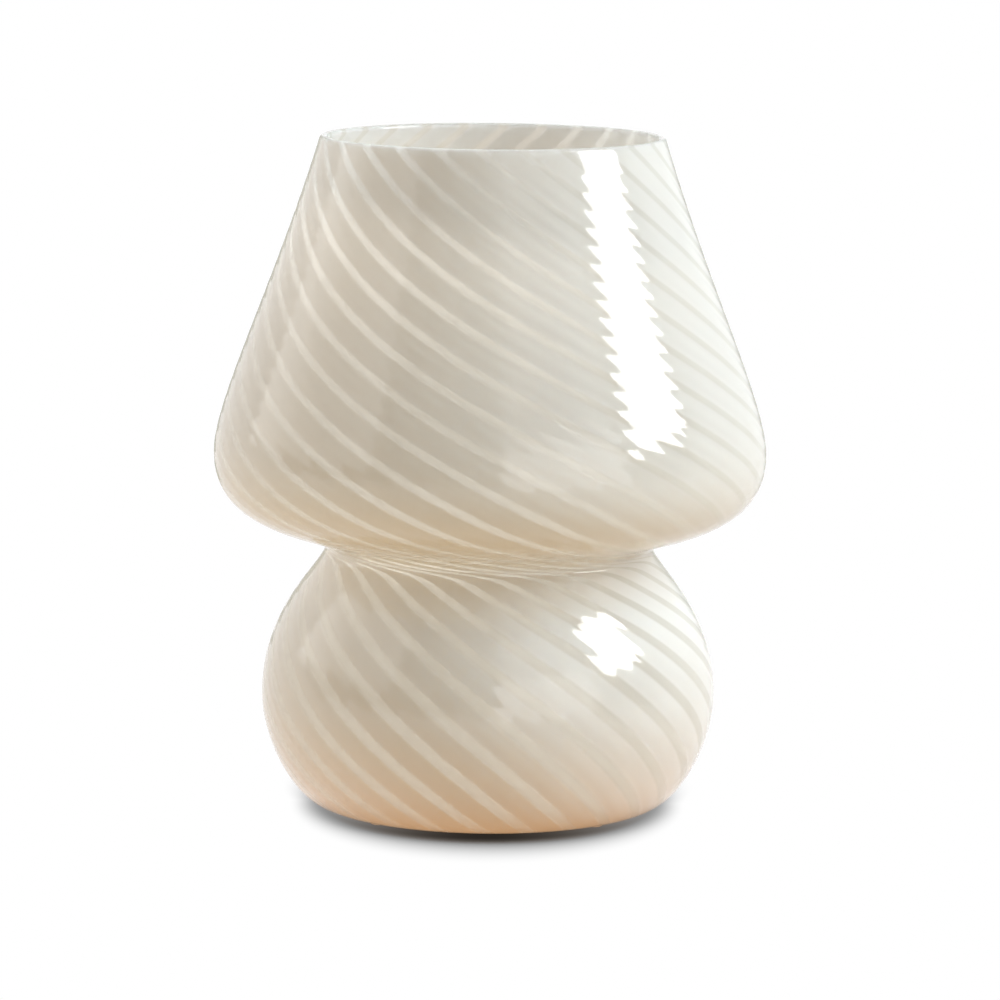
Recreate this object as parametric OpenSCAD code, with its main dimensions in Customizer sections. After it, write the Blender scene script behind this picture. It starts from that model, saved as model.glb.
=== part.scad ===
// Mushroom accent lamp: a one-piece blown glass body with a light fitting that lifts out of its mouth
// Millimetres, +Z up, the origin on the table under the middle of the lamp, the cord hole towards +Y

/* [Glass outline] */
// Height of the rim above the table
lamp_h = 244; // [232:1:262]
// Outer diameter of the mouth
mouth_d = 124.6; // [120:0.2:134]
// Slope of the shade's side at the mouth, in degrees from upright
shade_slope = 17; // [13:1:20]
// Widest diameter of the shade
shade_d = 200; // [186:1:216]
// Height of the shade's widest line
shade_z = 129.5; // [125:0.5:136]
// Outer diameter of the waist
waist_d = 119.2; // [114:0.2:121]
// Height of the waist
waist_z = 94.8; // [90:0.2:98]
// Widest diameter of the base
base_d = 164.8; // [152:0.2:180]
// Height of the base's widest line
base_z = 41.4; // [38:0.2:46]
// Outer diameter of the flat ring that the base ends in
foot_d = 121; // [112:1:130]

/* [Glass curves] */
// How far the shade stays straight below the mouth
shade_run = 57; // [45:1:65]
// Reach of the curve above the shade's widest line
shoulder_reach = 18; // [12:1:26]
// Reach of the curve below the shade's widest line
belly_reach = 31; // [24:1:33]
// Reach of the curve above the waist
neck_top_reach = 8; // [6:0.5:10]
// Reach of the curve below the waist
neck_low_reach = 6; // [4:0.5:9]
// Reach of the curve above the base's widest line
base_top_reach = 31; // [24:1:38]
// Reach of the curve below the base's widest line
base_low_reach = 18.5; // [14:0.5:24]
// Reach of the curve where the base turns under to the foot ring
foot_reach = 9; // [6:0.5:14]

/* [Glass walls] */
// Wall at the rim
rim_wall = 2.8; // [2.4:0.1:3.4]
// Wall at the shade's widest line
shade_wall = 3.4; // [2.6:0.1:4.2]
// Wall at the waist
waist_wall = 5; // [4.2:0.1:5.8]
// Wall at the base's widest line
base_wall = 4.5; // [3.4:0.1:5.6]
// Floor above the foot ring
foot_wall = 6; // [5:0.5:8]
// Floor in the middle
floor_wall = 5; // [4:0.5:8]
// Width of the flat foot ring
foot_ring_w = 14; // [12:0.5:20]
// Depth of the hollow under the foot
punt_depth = 6.5; // [3:0.5:10]

/* [Cord inlet] */
// Height of the cord hole's middle
cord_z = 24; // [22:0.5:28]
// Diameter of the hole drilled in the glass
cord_hole_d = 10; // [9:0.2:12]
// Bore of the grommet, for a 5 mm round lamp cord
cord_bore_d = 5.4; // [4.6:0.1:6.4]
// Diameter of the grommet's two flanges
grommet_flange_d = 15; // [14:0.5:18]
// Thickness of the grommet's flanges
grommet_flange_t = 1.6; // [1.2:0.1:2.2]
// How far the grommet's nozzles stand past the glass
grommet_nozzle = 4.5; // [4:0.1:6]

/* [Bumper feet] */
// Diameter of a foot where it is stuck on
bumper_d = 9.4; // [8:0.2:11.8]
// Diameter of a foot's flat on the table
bumper_flat_d = 7.4; // [5:0.2:7.8]
// Height of a foot
bumper_h = 1.5; // [1:0.1:3]
// Number of feet
bumper_count = 4; // [3:1:8]

/* [Spring bracket] */
// How far the arm pads reach out over the ledge in the waist; they pass the mouth with 1 mm of room
ledge_reach = 4; // [3:0.2:4.2]
// Rise from the pads' seat to the underside of the hub plate
arm_drop = 6.4; // [5.5:0.1:8]
// Width of an arm
arm_w = 10; // [9:0.5:12]
// Thickness of an arm
arm_t = 0.8; // [0.6:0.1:1.2]
// Width of a silicone arm pad
pad_w = 14; // [13:0.5:18]
// Length of a pad along its arm
pad_l = 7; // [6:0.5:8]
// Diameter of the hub plate
hub_d = 44; // [43:0.5:56]
// Thickness of the hub plate
hub_t = 1.2; // [1:0.1:2]
// Diameter of a rivet
rivet_d = 3; // [2.4:0.1:3.4]
// Distance between an arm's two rivets
rivet_pitch = 6; // [5.6:0.2:6.4]

/* [Nipple and nut] */
// Outer diameter of the hollow nipple
nipple_d = 10; // [9.6:0.1:10.4]
// Bore of the nipple
nipple_bore_d = 7.2; // [6.8:0.1:7.6]
// Length of the nipple
nipple_l = 15; // [14.5:0.1:15.6]
// Width of the lock nut across its flats
nut_af = 14; // [13:0.5:17]
// Thickness of the lock nut
nut_t = 3; // [2.5:0.1:3.4]
// Thickness of the toothed washer
washer_t = 0.8; // [0.6:0.1:1.2]

/* [Lampholder] */
// Outer diameter of the cap and the skirt
holder_d = 28; // [27.6:0.1:30]
// Height of the cap below the skirt
cap_low_h = 9.8; // [9.2:0.1:12]
// Height of the cap's neck, over which the skirt slides
cap_neck_h = 6.2; // [6:0.1:7]
// Thickness of the skirt's wall
skirt_wall = 1.3; // [1.1:0.1:1.5]
// Height of the skirt
skirt_h = 38.8; // [37.5:0.1:39.2]
// Diameter of the opening in the skirt's top
skirt_mouth_d = 19.2; // [18.4:0.1:20]
// Height of the contact carrier
carrier_h = 6.4; // [6:0.1:6.8]
// Thickness of the sheet that the contacts are made of
contact_t = 0.4; // [0.3:0.05:0.5]
// Width of the contact strips
contact_w = 4; // [3:0.1:4.4]

/* [Bulb thread] */
// Pitch of the round E14 thread
thread_pitch = 2.82; // [2.7:0.02:2.9]
// Depth of the thread
thread_depth = 0.74; // [0.6:0.02:0.8]
// Crest diameter of the bulb's thread
thread_d = 13.84; // [13.6:0.02:13.9]
// Room between the bulb's thread and the holder's, on the radius
thread_room = 0.25; // [0.22:0.01:0.3]
// Length of thread in the holder
shell_thread_l = 14; // [13:0.1:14.1]
// Length of thread on the bulb
cap_thread_l = 15; // [14.6:0.1:15.4]

/* [Bulb] */
// Diameter of the globe
globe_d = 45; // [44:0.5:48]
// Length of the bulb
bulb_l = 78; // [76:0.5:82]
// Wall of the globe
globe_wall = 1; // [0.8:0.1:1.4]
// Largest diameter of the white collar
collar_d = 33.2; // [33:0.1:34]
// Diameter of the board that carries the lights
led_board_d = 29.8; // [28:0.2:29.9]
// Thickness of the light board
led_board_t = 1.6; // [1:0.1:2]
// Number of lights on the board
led_count = 8; // [4:1:12]
// Side of one light
led_size = 3; // [2:0.1:3.5]

/* [Hidden] */
$fn = 64;

// clearances
glue_gap = 0.1;
seat_gap = 0.3;
slide_gap = 0.1;
fit_gap = 0.05;
contact_gap = 0.3;
cut = 1;

// glass: four curves from the mouth down to the foot ring, each with its own two walls
curve_steps = 18;
lip_steps = 10;
shade_r = shade_d / 2;
mouth_r = mouth_d / 2;
waist_r = waist_d / 2;
base_r = base_d / 2;
foot_r = foot_d / 2;
foot_z = bumper_h;
rim_z = lamp_h - rim_wall / 2 * (1 - sin(shade_slope));
mouth_at = [mouth_r, rim_z];
shade_at = [shade_r, shade_z];
waist_at = [waist_r, waist_z];
base_at = [base_r, base_z];
foot_at = [foot_r, foot_z];
run_end = mouth_at + shade_run * [sin(shade_slope), -cos(shade_slope)];
side_curves = [
  [mouth_at, run_end, shade_at + [0, shoulder_reach], shade_at],
  [shade_at, shade_at - [0, belly_reach], waist_at + [0, neck_top_reach], waist_at],
  [waist_at, waist_at - [0, neck_low_reach], base_at + [0, base_top_reach], base_at],
  [base_at, base_at - [0, base_low_reach], foot_at + [foot_reach, 0], foot_at]
];
side_walls = [
  [rim_wall, shade_wall],
  [shade_wall, waist_wall],
  [waist_wall, base_wall],
  [base_wall, foot_wall]
];
belly = 1;
base_turn = 3;
ring_in_r = foot_r - foot_ring_w;
punt_z = foot_z + punt_depth;
floor_z = punt_z + floor_wall;

// a point on a curve, its direction there, and a list turned end for end
function on_curve(c, t) =
  pow(1 - t, 3) * c[0] + 3 * t * pow(1 - t, 2) * c[1] + 3 * t * t * (1 - t) * c[2] + pow(t, 3) * c[3];
function slope_of(c, t) =
  pow(1 - t, 2) * (c[1] - c[0]) + 2 * t * (1 - t) * (c[2] - c[1]) + t * t * (c[3] - c[2]);
function unit(v) = v / norm(v);
function turned(v) = [v.y, -v.x];
function flipped(p) = [for (i = [len(p) - 1 : -1 : 0]) p[i]];
function mixed(a, b, t) = a + (b - a) * t;

// a surface that lies a share of the wall, and a further gap, inside the outer face
function skin(share, gap, first = 0, last = 3) = [
  for (k = [first : last])
    for (i = [(k == first ? 0 : 1) : curve_steps])
      let (
        t = i / curve_steps,
        inward = turned(unit(slope_of(side_curves[k], t))),
        wall = mixed(side_walls[k][0], side_walls[k][1], t)
      )
      on_curve(side_curves[k], t) + (share * wall + gap) * inward
];
function arc_run(c, first, last) = [for (i = [first : last]) on_curve(c, i / curve_steps)];
function by_height(p) = [for (q = p) [q.y, q.x]];

// the hollow under the foot, from the ring to the middle, and the floor above it, from the middle out
middle_share = 0.4;
punt_edge_r = ring_in_r * 0.8;
punt_edge_z = foot_z + punt_depth * 0.7;
floor_edge_r = foot_r * 0.6;
floor_edge_z = foot_z + foot_wall;
punt_curve = [
  [ring_in_r, foot_z],
  [punt_edge_r, punt_edge_z],
  [ring_in_r * middle_share, punt_z],
  [0, punt_z]
];
floor_curve = [
  [0, floor_z],
  [foot_r * middle_share, floor_z],
  [floor_edge_r, floor_edge_z],
  [foot_r, floor_edge_z]
];
punt_run = arc_run(punt_curve, 0, curve_steps);
floor_run = arc_run(floor_curve, 0, curve_steps - 1);

// fire-polished lip: a half circle across the wall at the mouth
lip_down = unit(slope_of(side_curves[0], 0));
lip_in = turned(lip_down);
lip_run = [
  for (i = [1 : lip_steps - 1])
    let (a = 180 * i / lip_steps)
    mouth_at + rim_wall / 2 * (lip_in * (1 + cos(a)) - lip_down * sin(a))
];

// the ledge inside the waist, where the arm pads sit
pad_r = waist_r - waist_wall + ledge_reach;
ledge_z = lookup(pad_r, skin(1, seat_gap, belly, belly));
pad_low = 3;
pad_high = 4.6;
pad_in_r = pad_r - pad_l;
pad_tip = 2.4;
arm_bend_l = 12;
arm_start_r = 11.4;
hub_z = ledge_z + arm_drop;
hub_top = hub_z + hub_t;
arm_mid_z = hub_z - arm_t / 2;
pad_tip_rise = 1.1;
arm_tip_z = ledge_z + pad_tip_rise;
arm_line = [
  [arm_start_r, arm_mid_z],
  [pad_r - arm_bend_l, arm_mid_z],
  [pad_r - pad_tip, arm_tip_z]
];
rivet_edge = 4.4;
rivet_circle_r = hub_d / 2 - rivet_edge;
rivet_head_lap = 1.1;
rivet_head_d = rivet_d + 2 * rivet_head_lap;
rivet_head_h = 1;
rear_angle = 90;
left_angle = 210;
right_angle = 330;
arm_angles = [rear_angle, left_angle, right_angle];

// nipple, nut and washer
nipple_r = nipple_d / 2;
nipple_rise = 8;
nipple_top = hub_top + nipple_rise;
nipple_low = nipple_top - nipple_l;
washer_d = 18;
washer_teeth = 12;
washer_tooth_l = 1.6;
washer_notch_w = 1.2;
nut_z = hub_z - washer_t - nut_t;
nut_chamfer = 0.7;
bush_flange_d = 12.4;
bush_flange_t = 2;
bush_plug_l = 5;
bush_wall = 0.75;

// lampholder stack, from the top of the hub plate up
holder_r = holder_d / 2;
cap_top = hub_top + cap_low_h + cap_neck_h;
cap_floor = 2;
cap_boss_wall = 2.5;
cap_boss_r = nipple_r + cap_boss_wall;
cap_boss_h = 8.8;
cap_neck_wall = 1.4;
cap_neck_r = holder_r - skirt_wall - slide_gap;
skirt_low = hub_top + cap_low_h + slide_gap;
skirt_top = skirt_low + skirt_h;
skirt_lip = 1.6;
edge_break = 1;
carrier_r = holder_r - skirt_wall - slide_gap;
carrier_top = cap_top + carrier_h;
shell_z = carrier_top;
shell_floor_t = 0.5;
shell_hole_r = 4.2;
tip_rise = 2.4;
tip_z = shell_z + tip_rise;

// round thread: the radius swings by half the depth along each turn. At each end the swing runs out: at the
// high end to the crest, and at the low end to the crest (side 1) or the root (side -1)
thread_mid_r = thread_d / 2 - thread_depth / 2;
shell_thread_r = thread_mid_r + thread_room;
shell_wall = 0.45;
shell_thread_rise = 3.5;
shell_thread_z = tip_z + shell_thread_rise;
shell_lip_h = 1;
thread_sides = 28;
thread_rings = 8;
thread_runout = 1;
function share_left(d) = max(0, 1 - d / thread_runout);
function thread_radius(mid, a, z, start, end, side) =
  mid + thread_depth / 2 * mixed(
    mixed(cos(a - 360 * z / thread_pitch), side, share_left(z - start)),
    1,
    share_left(end - z)
  );

// contacts under the shell
tongue_leg_x = 7.2;
tongue_leg_drop = 6.5;
tongue_leg_low = cap_top - tongue_leg_drop;
tongue_run_rise = 1.9;
tongue_run_z = cap_top + tongue_run_rise;
tongue_rise_x = 2;
tongue_knee_rise = 0.2;
tongue_knee_z = carrier_top + tongue_knee_rise;
tongue_flat_start = 0.3;
tongue_flat_end = -1.4;
tongue_top_z = tip_z - contact_gap - contact_t / 2;
tongue_line = [
  [tongue_leg_x, tongue_leg_low],
  [tongue_leg_x, tongue_run_z],
  [tongue_rise_x, tongue_run_z],
  [tongue_rise_x, tongue_knee_z],
  [tongue_flat_start, tongue_top_z],
  [tongue_flat_end, tongue_top_z]
];
shell_strip_line = [
  [-tongue_leg_x, tongue_leg_low],
  [-tongue_leg_x, carrier_top - contact_t / 2],
  [-shell_hole_r, carrier_top - contact_t / 2]
];
channel_h = tongue_run_z - cap_top + contact_t / 2 + slide_gap;
tongue_hole_r = 3.4;
block_size = [3.8, 5.2, 5];
block_x = tongue_leg_x - contact_t / 2 - block_size.x / 2;
block_rise = 2.1;
block_z = tongue_leg_low + block_rise;
wire_hole_r = 1.3;
screw_r = 1.5;
screw_head_r = 2.3;
screw_head_h = 1.4;
screw_slot = 0.6;

// bulb, counted from the bottom of its tip
cap_thread_rise = 4.5;
cap_thread_z = tip_z + cap_thread_rise;
cap_plain_h = 4.3;
cap_plain_r = thread_d / 2;
cap_plain_top = cap_thread_z + cap_thread_l + cap_plain_h;
cap_bore_r = thread_mid_r - thread_depth / 2 - shell_wall;
insulator_rise = 1.5;
insulator_low = tip_z + insulator_rise;
insulator_tip_r = 2.6;
insulator_plug = 2;
tip_contact_r = 2.2;
tip_contact_h = 1.4;
tip_round = 0.8;
globe_r = globe_d / 2;
collar_rise = 7.2;
collar_lap = 3.4;
collar_neck_wall = 1.3;
collar_rim_h = 1;
collar_step_h = 1.5;
collar_shoulder_h = 1.2;
globe_z = tip_z + bulb_l - globe_r;
collar_top = tip_z + bulb_l - globe_d + collar_rise;
collar_low = cap_plain_top - collar_lap;
collar_bore_r = cap_plain_r + fit_gap;
collar_neck_r = collar_bore_r + collar_neck_wall;
collar_step_r = cap_bore_r + slide_gap;
board_step = 2.2;
board_seat_z = collar_top - board_step;
board_ledge_w = 1.4;
board_seat_in_r = led_board_d / 2 - board_ledge_w;
led_edge = 5.4;
led_circle_r = led_board_d / 2 - led_edge;
led_h = 0.8;
driver_w = 10;
driver_t = 1.6;
driver_room = 1.2;
driver_low = cap_thread_z + insulator_plug + driver_room;
driver_top = board_seat_z - seat_gap;

// a strip of sheet along a line of points, in the plane of the line
function strip_side(line, d) = [
  for (i = [0 : len(line) - 1])
    let (
      before = unit(i == 0 ? line[1] - line[0] : line[i] - line[i - 1]),
      after = unit(i == len(line) - 1 ? line[i] - line[i - 1] : line[i + 1] - line[i]),
      mitre = unit(turned(before) + turned(after))
    )
    line[i] + mitre * d / (mitre * turned(before))
];
module strip(line, thick, wide) {
  rotate([90, 0, 0])
    linear_extrude(height = wide, center = true)
      polygon(concat(strip_side(line, thick / 2), flipped(strip_side(line, -thick / 2))));
}

module ring(outer_r, inner_r, low, high) {
  translate([0, 0, low])
    difference() {
      cylinder(r = outer_r, h = high - low);
      translate([0, 0, -cut])
        cylinder(r = inner_r, h = high - low + 2 * cut);
    }
}

// a solid rod with flat ends at low and high, threaded from start to end
module thread_rod(mid, low, start, end, high, side) {
  turns = ceil((end - start) / thread_pitch * thread_rings);
  heights = concat(
    low < start ? [low] : [],
    [for (j = [0 : turns]) mixed(start, end, j / turns)],
    high > end ? [high] : []
  );
  points = [
    for (z = heights)
      for (i = [0 : thread_sides - 1])
        let (
          a = 360 * i / thread_sides,
          r = thread_radius(mid, a, max(start, min(end, z)), start, end, side)
        )
        [r * cos(a), r * sin(a), z]
  ];
  rows = len(heights) - 1;
  walls = [
    for (j = [0 : rows - 1])
      for (i = [0 : thread_sides - 1])
        let (
          a = j * thread_sides + i,
          b = j * thread_sides + (i + 1) % thread_sides
        )
        each [[a, a + thread_sides, b], [b, a + thread_sides, b + thread_sides]]
  ];
  low_end = [for (i = [0 : thread_sides - 1]) i];
  high_end = [for (i = [thread_sides - 1 : -1 : 0]) rows * thread_sides + i];
  polyhedron(points = points, faces = concat(walls, [low_end], [high_end]), convexity = 10);
}

// glass wall between two skins, all round
module glass_layer(outer_share, outer_gap, inner_share, inner_gap, part) {
  rotate_extrude($fn = 96)
    polygon(concat(
      skin(outer_share, outer_gap, part, part),
      flipped(skin(inner_share, inner_gap, part, part))
    ));
}

// a bar along the cord hole's axis, from one distance behind the lamp's axis to another
module cord_bar(r, from_y, to_y) {
  translate([0, from_y, cord_z])
    rotate([-90, 0, 0])
      cylinder(r = r, h = to_y - from_y);
}
hole_out_y = lookup(cord_z, by_height(skin(0, 0, base_turn, base_turn)));
hole_in_y = lookup(cord_z, by_height(skin(1, 0, base_turn, base_turn)));

module glass_body() {
  color("#E7DFCF")
    difference() {
      rotate_extrude($fn = 96)
        polygon(concat(skin(0, 0), punt_run, floor_run, flipped(skin(1, 0)), lip_run));
      cord_bar(cord_hole_d / 2, hole_in_y - 2 * grommet_nozzle, hole_out_y + 2 * grommet_nozzle);
    }
}

module cord_grommet() {
  color("#D9D6CF")
    difference() {
      union() {
        cord_bar(cord_hole_d / 2 - glue_gap, hole_in_y - grommet_nozzle, hole_out_y + grommet_nozzle);
        intersection() {
          cord_bar(grommet_flange_d / 2, hole_in_y, hole_out_y + 2 * grommet_nozzle);
          glass_layer(0, -glue_gap - grommet_flange_t, 0, -glue_gap, base_turn);
        }
        intersection() {
          cord_bar(grommet_flange_d / 2, hole_in_y - 2 * grommet_nozzle, hole_out_y);
          glass_layer(1, glue_gap, 1, glue_gap + grommet_flange_t, base_turn);
        }
      }
      cord_bar(cord_bore_d / 2, hole_in_y - 2 * grommet_nozzle, hole_out_y + 2 * grommet_nozzle);
    }
}

module bumper_feet() {
  color("#DCDCDC")
    for (i = [0 : bumper_count - 1])
      rotate([0, 0, 45 + 360 * i / bumper_count])
        translate([foot_r - foot_ring_w / 2, 0, 0])
          cylinder(d1 = bumper_flat_d, d2 = bumper_d, h = bumper_h);
}

// places its children at the two rivets of each arm
module at_rivets(angles) {
  for (a = angles)
    for (side = [-1, 1])
      rotate([0, 0, a])
        translate([rivet_circle_r, side * rivet_pitch / 2, 0])
          children();
}

module hub_plate() {
  color("#B9BCC0")
    difference() {
      ring(hub_d / 2, nipple_r + fit_gap, hub_z, hub_top);
      at_rivets(arm_angles)
        translate([0, 0, hub_z - cut])
          cylinder(r = rivet_d / 2 + fit_gap, h = hub_t + 2 * cut);
    }
}

module spring_arm(angle) {
  color("#A9ADB2")
    difference() {
      rotate([0, 0, angle])
        strip(arm_line, arm_t, arm_w);
      at_rivets([angle])
        translate([0, 0, hub_z - arm_t - cut])
          cylinder(r = rivet_d / 2 + fit_gap, h = arm_t + 2 * cut);
    }
}
module spring_arm_rear() {
  spring_arm(rear_angle);
}
module spring_arm_left() {
  spring_arm(left_angle);
}
module spring_arm_right() {
  spring_arm(right_angle);
}

// pads are cut to the ledge that they sit on, and slotted for the arm's end
module arm_pad(angle) {
  color("#E4E4E0")
    rotate([0, 0, angle])
      difference() {
        intersection() {
          translate([pad_in_r, -pad_w / 2, ledge_z - pad_low])
            cube([pad_l, pad_w, pad_low + pad_high]);
          rotate_extrude($fn = 96)
            polygon(concat([[0, shade_z]], skin(1, seat_gap, belly, belly), [[0, waist_z]]));
        }
        strip(arm_line, arm_t + 2 * fit_gap, arm_w + 2 * fit_gap);
      }
}
module arm_pad_rear() {
  arm_pad(rear_angle);
}
module arm_pad_left() {
  arm_pad(left_angle);
}
module arm_pad_right() {
  arm_pad(right_angle);
}

module arm_rivets() {
  rivet_low = hub_z - arm_t;
  color("#C9CBCE")
    at_rivets(arm_angles) {
      translate([0, 0, rivet_low - rivet_head_h])
        cylinder(d1 = rivet_d, d2 = rivet_head_d, h = rivet_head_h);
      translate([0, 0, rivet_low])
        cylinder(d = rivet_d, h = arm_t + hub_t);
      translate([0, 0, hub_top])
        cylinder(d1 = rivet_head_d, d2 = rivet_d, h = rivet_head_h);
    }
}

module nipple() {
  color("#C2B06A")
    ring(nipple_r, nipple_bore_d / 2, nipple_low, nipple_top);
}

module toothed_washer() {
  color("#BFC2C6")
    difference() {
      ring(washer_d / 2, nipple_r + fit_gap, hub_z - washer_t, hub_z);
      for (i = [0 : washer_teeth - 1])
        rotate([0, 0, 360 * i / washer_teeth])
          translate([washer_d / 2 - washer_tooth_l, -washer_notch_w / 2, hub_z - washer_t - cut])
            cube([washer_tooth_l + cut, washer_notch_w, washer_t + 2 * cut]);
    }
}

module lock_nut() {
  corner_r = nut_af / 2 / cos(30);
  color("#C2B06A")
    difference() {
      intersection() {
        translate([0, 0, nut_z])
          cylinder(r = corner_r, h = nut_t, $fn = 6);
        translate([0, 0, nut_z])
          cylinder(r1 = corner_r - nut_chamfer, r2 = corner_r - nut_chamfer + nut_t, h = nut_t);
      }
      translate([0, 0, nut_z - cut])
        cylinder(r = nipple_r + fit_gap, h = nut_t + 2 * cut);
    }
}

module nipple_bushing() {
  bush_r = nipple_bore_d / 2 - fit_gap;
  color("#F2F1EC")
    difference() {
      union() {
        translate([0, 0, nipple_low - bush_flange_t])
          cylinder(d = bush_flange_d, h = bush_flange_t);
        translate([0, 0, nipple_low])
          cylinder(r = bush_r, h = bush_plug_l);
      }
      translate([0, 0, nipple_low - bush_flange_t - cut])
        cylinder(r = bush_r - bush_wall, h = bush_flange_t + bush_plug_l + 2 * cut);
    }
}

module holder_cap() {
  boss_bore_r = nipple_r + fit_gap;
  neck_in_r = cap_neck_r - cap_neck_wall;
  color("#F1EFE8")
    translate([0, 0, hub_top])
      rotate_extrude()
        polygon([
          [boss_bore_r, 0],
          [holder_r - edge_break, 0],
          [holder_r, edge_break],
          [holder_r, cap_low_h],
          [cap_neck_r, cap_low_h],
          [cap_neck_r, cap_low_h + cap_neck_h],
          [neck_in_r, cap_low_h + cap_neck_h],
          [neck_in_r, cap_floor],
          [cap_boss_r, cap_floor],
          [cap_boss_r, cap_boss_h],
          [boss_bore_r, cap_boss_h]
        ]);
}

module holder_skirt() {
  bore_r = holder_r - skirt_wall;
  color("#F1EFE8")
    rotate_extrude()
      polygon([
        [bore_r, skirt_low],
        [holder_r, skirt_low],
        [holder_r, skirt_top - edge_break],
        [holder_r - edge_break, skirt_top],
        [skirt_mouth_d / 2, skirt_top],
        [skirt_mouth_d / 2, skirt_top - skirt_lip],
        [bore_r, skirt_top - skirt_lip]
      ]);
}

// the carrier: a disc with a middle hole, a channel for the tongue and a slot for the shell's strip
module contact_carrier() {
  slot_w = contact_w + 2 * slide_gap;
  slot_t = contact_t + 2 * slide_gap;
  color("#EDEBE4")
    difference() {
      translate([0, 0, cap_top])
        cylinder(r = carrier_r, h = carrier_h);
      translate([0, 0, cap_top - cut])
        cylinder(r = tongue_hole_r, h = carrier_h + 2 * cut);
      translate([0, -slot_w / 2, cap_top - cut])
        cube([tongue_leg_x + slot_t / 2, slot_w, channel_h + cut]);
      translate([-tongue_leg_x - slot_t / 2, -slot_w / 2, cap_top - cut])
        cube([slot_t, slot_w, carrier_h + 2 * cut]);
      translate([-tongue_leg_x - slot_t / 2, -slot_w / 2, carrier_top - slot_t])
        cube([tongue_leg_x, slot_w, slot_t + cut]);
    }
}

module screw_shell() {
  thread_top = shell_thread_z + shell_thread_l;
  shell_top = thread_top + shell_lip_h;
  color("#C9CCD0")
    difference() {
      thread_rod(shell_thread_r + shell_wall, shell_z, shell_thread_z, thread_top, shell_top, 1);
      thread_rod(shell_thread_r, shell_z + shell_floor_t, shell_thread_z, thread_top, shell_top + cut, 1);
      translate([0, 0, shell_z - cut])
        cylinder(r = shell_hole_r, h = shell_floor_t + 2 * cut);
    }
}

module centre_contact() {
  color("#C8914A")
    strip(tongue_line, contact_t, contact_w);
}

module shell_contact() {
  color("#C8914A")
    strip(shell_strip_line, contact_t, contact_w);
}

module terminal_blocks() {
  color("#C2B06A")
    for (side = [-1, 1])
      translate([side * block_x, 0, block_z])
        difference() {
          cube(block_size, center = true);
          cylinder(r = wire_hole_r, h = block_size.z + 2 * cut, center = true);
          rotate([-90, 0, 0])
            cylinder(r = screw_r + fit_gap, h = block_size.y);
        }
}

module terminal_screws() {
  color("#B9BCC0")
    for (side = [-1, 1])
      translate([side * block_x, 0, block_z])
        difference() {
          union() {
            translate([0, wire_hole_r + fit_gap, 0])
              rotate([-90, 0, 0])
                cylinder(r = screw_r, h = block_size.y / 2 - wire_hole_r);
            translate([0, block_size.y / 2, 0])
              rotate([-90, 0, 0])
                cylinder(r = screw_head_r, h = screw_head_h);
          }
          translate([-screw_head_r - cut, block_size.y / 2 + screw_head_h - screw_slot, -screw_slot / 2])
            cube([2 * screw_head_r + 2 * cut, screw_slot + cut, screw_slot]);
        }
}

module bulb_globe() {
  color("#F4F2EE")
    difference() {
      translate([0, 0, globe_z])
        sphere(r = globe_r);
      translate([0, 0, globe_z])
        sphere(r = globe_r - globe_wall);
      translate([-globe_d, -globe_d, collar_top - globe_d])
        cube([2 * globe_d, 2 * globe_d, globe_d]);
    }
}

module bulb_collar() {
  rim_r = collar_d / 2;
  seat_r = led_board_d / 2 + slide_gap;
  color("#F3F3F1")
    rotate_extrude()
      polygon([
        [collar_bore_r, collar_low],
        [collar_neck_r, collar_low],
        [collar_neck_r, cap_plain_top],
        [rim_r, collar_top - collar_rim_h],
        [rim_r, collar_top],
        [seat_r, collar_top],
        [seat_r, board_seat_z],
        [board_seat_in_r, board_seat_z],
        [board_seat_in_r, board_seat_z - collar_step_h],
        [collar_step_r, cap_plain_top + collar_shoulder_h],
        [collar_step_r, cap_plain_top],
        [collar_bore_r, cap_plain_top]
      ]);
}

module led_board() {
  color("#DADCDD")
    translate([0, 0, board_seat_z])
      cylinder(d = led_board_d, h = led_board_t);
}

module led_chips() {
  color("#EFD873")
    for (i = [0 : led_count - 1])
      rotate([0, 0, 360 * i / led_count])
        translate([led_circle_r - led_size / 2, -led_size / 2, board_seat_z + led_board_t])
          cube([led_size, led_size, led_h]);
}

module driver_board() {
  color("#3E6B45")
    translate([-driver_w / 2, -driver_t / 2, driver_low])
      cube([driver_w, driver_t, driver_top - driver_low]);
}

module bulb_cap() {
  color("#C9CCD0")
    difference() {
      thread_rod(thread_mid_r, cap_thread_z, cap_thread_z, cap_thread_z + cap_thread_l, cap_plain_top, -1);
      translate([0, 0, cap_thread_z - cut])
        cylinder(r = cap_bore_r, h = cap_plain_top - cap_thread_z + 2 * cut);
    }
}

module bulb_insulator() {
  plug_r = cap_bore_r - fit_gap;
  color("#1E1E20")
    rotate_extrude()
      polygon([
        [0, insulator_low],
        [insulator_tip_r, insulator_low],
        [plug_r, cap_thread_z],
        [plug_r, cap_thread_z + insulator_plug],
        [0, cap_thread_z + insulator_plug]
      ]);
}

module bulb_tip_contact() {
  color("#C9CCD0")
    translate([0, 0, tip_z])
      rotate_extrude()
        polygon([
          [0, 0],
          [tip_contact_r - tip_round, 0],
          [tip_contact_r, tip_round],
          [tip_contact_r, tip_contact_h],
          [0, tip_contact_h]
        ]);
}

glass_body();
cord_grommet();
bumper_feet();
hub_plate();
spring_arm_rear();
spring_arm_left();
spring_arm_right();
arm_pad_rear();
arm_pad_left();
arm_pad_right();
arm_rivets();
nipple();
toothed_washer();
lock_nut();
nipple_bushing();
holder_cap();
holder_skirt();
contact_carrier();
screw_shell();
centre_contact();
shell_contact();
terminal_blocks();
terminal_screws();
bulb_globe();
bulb_collar();
led_board();
led_chips();
driver_board();
bulb_cap();
bulb_insulator();
bulb_tip_contact();
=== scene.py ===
import math
import bpy
import numpy as np
from mathutils import Matrix, Vector


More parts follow.
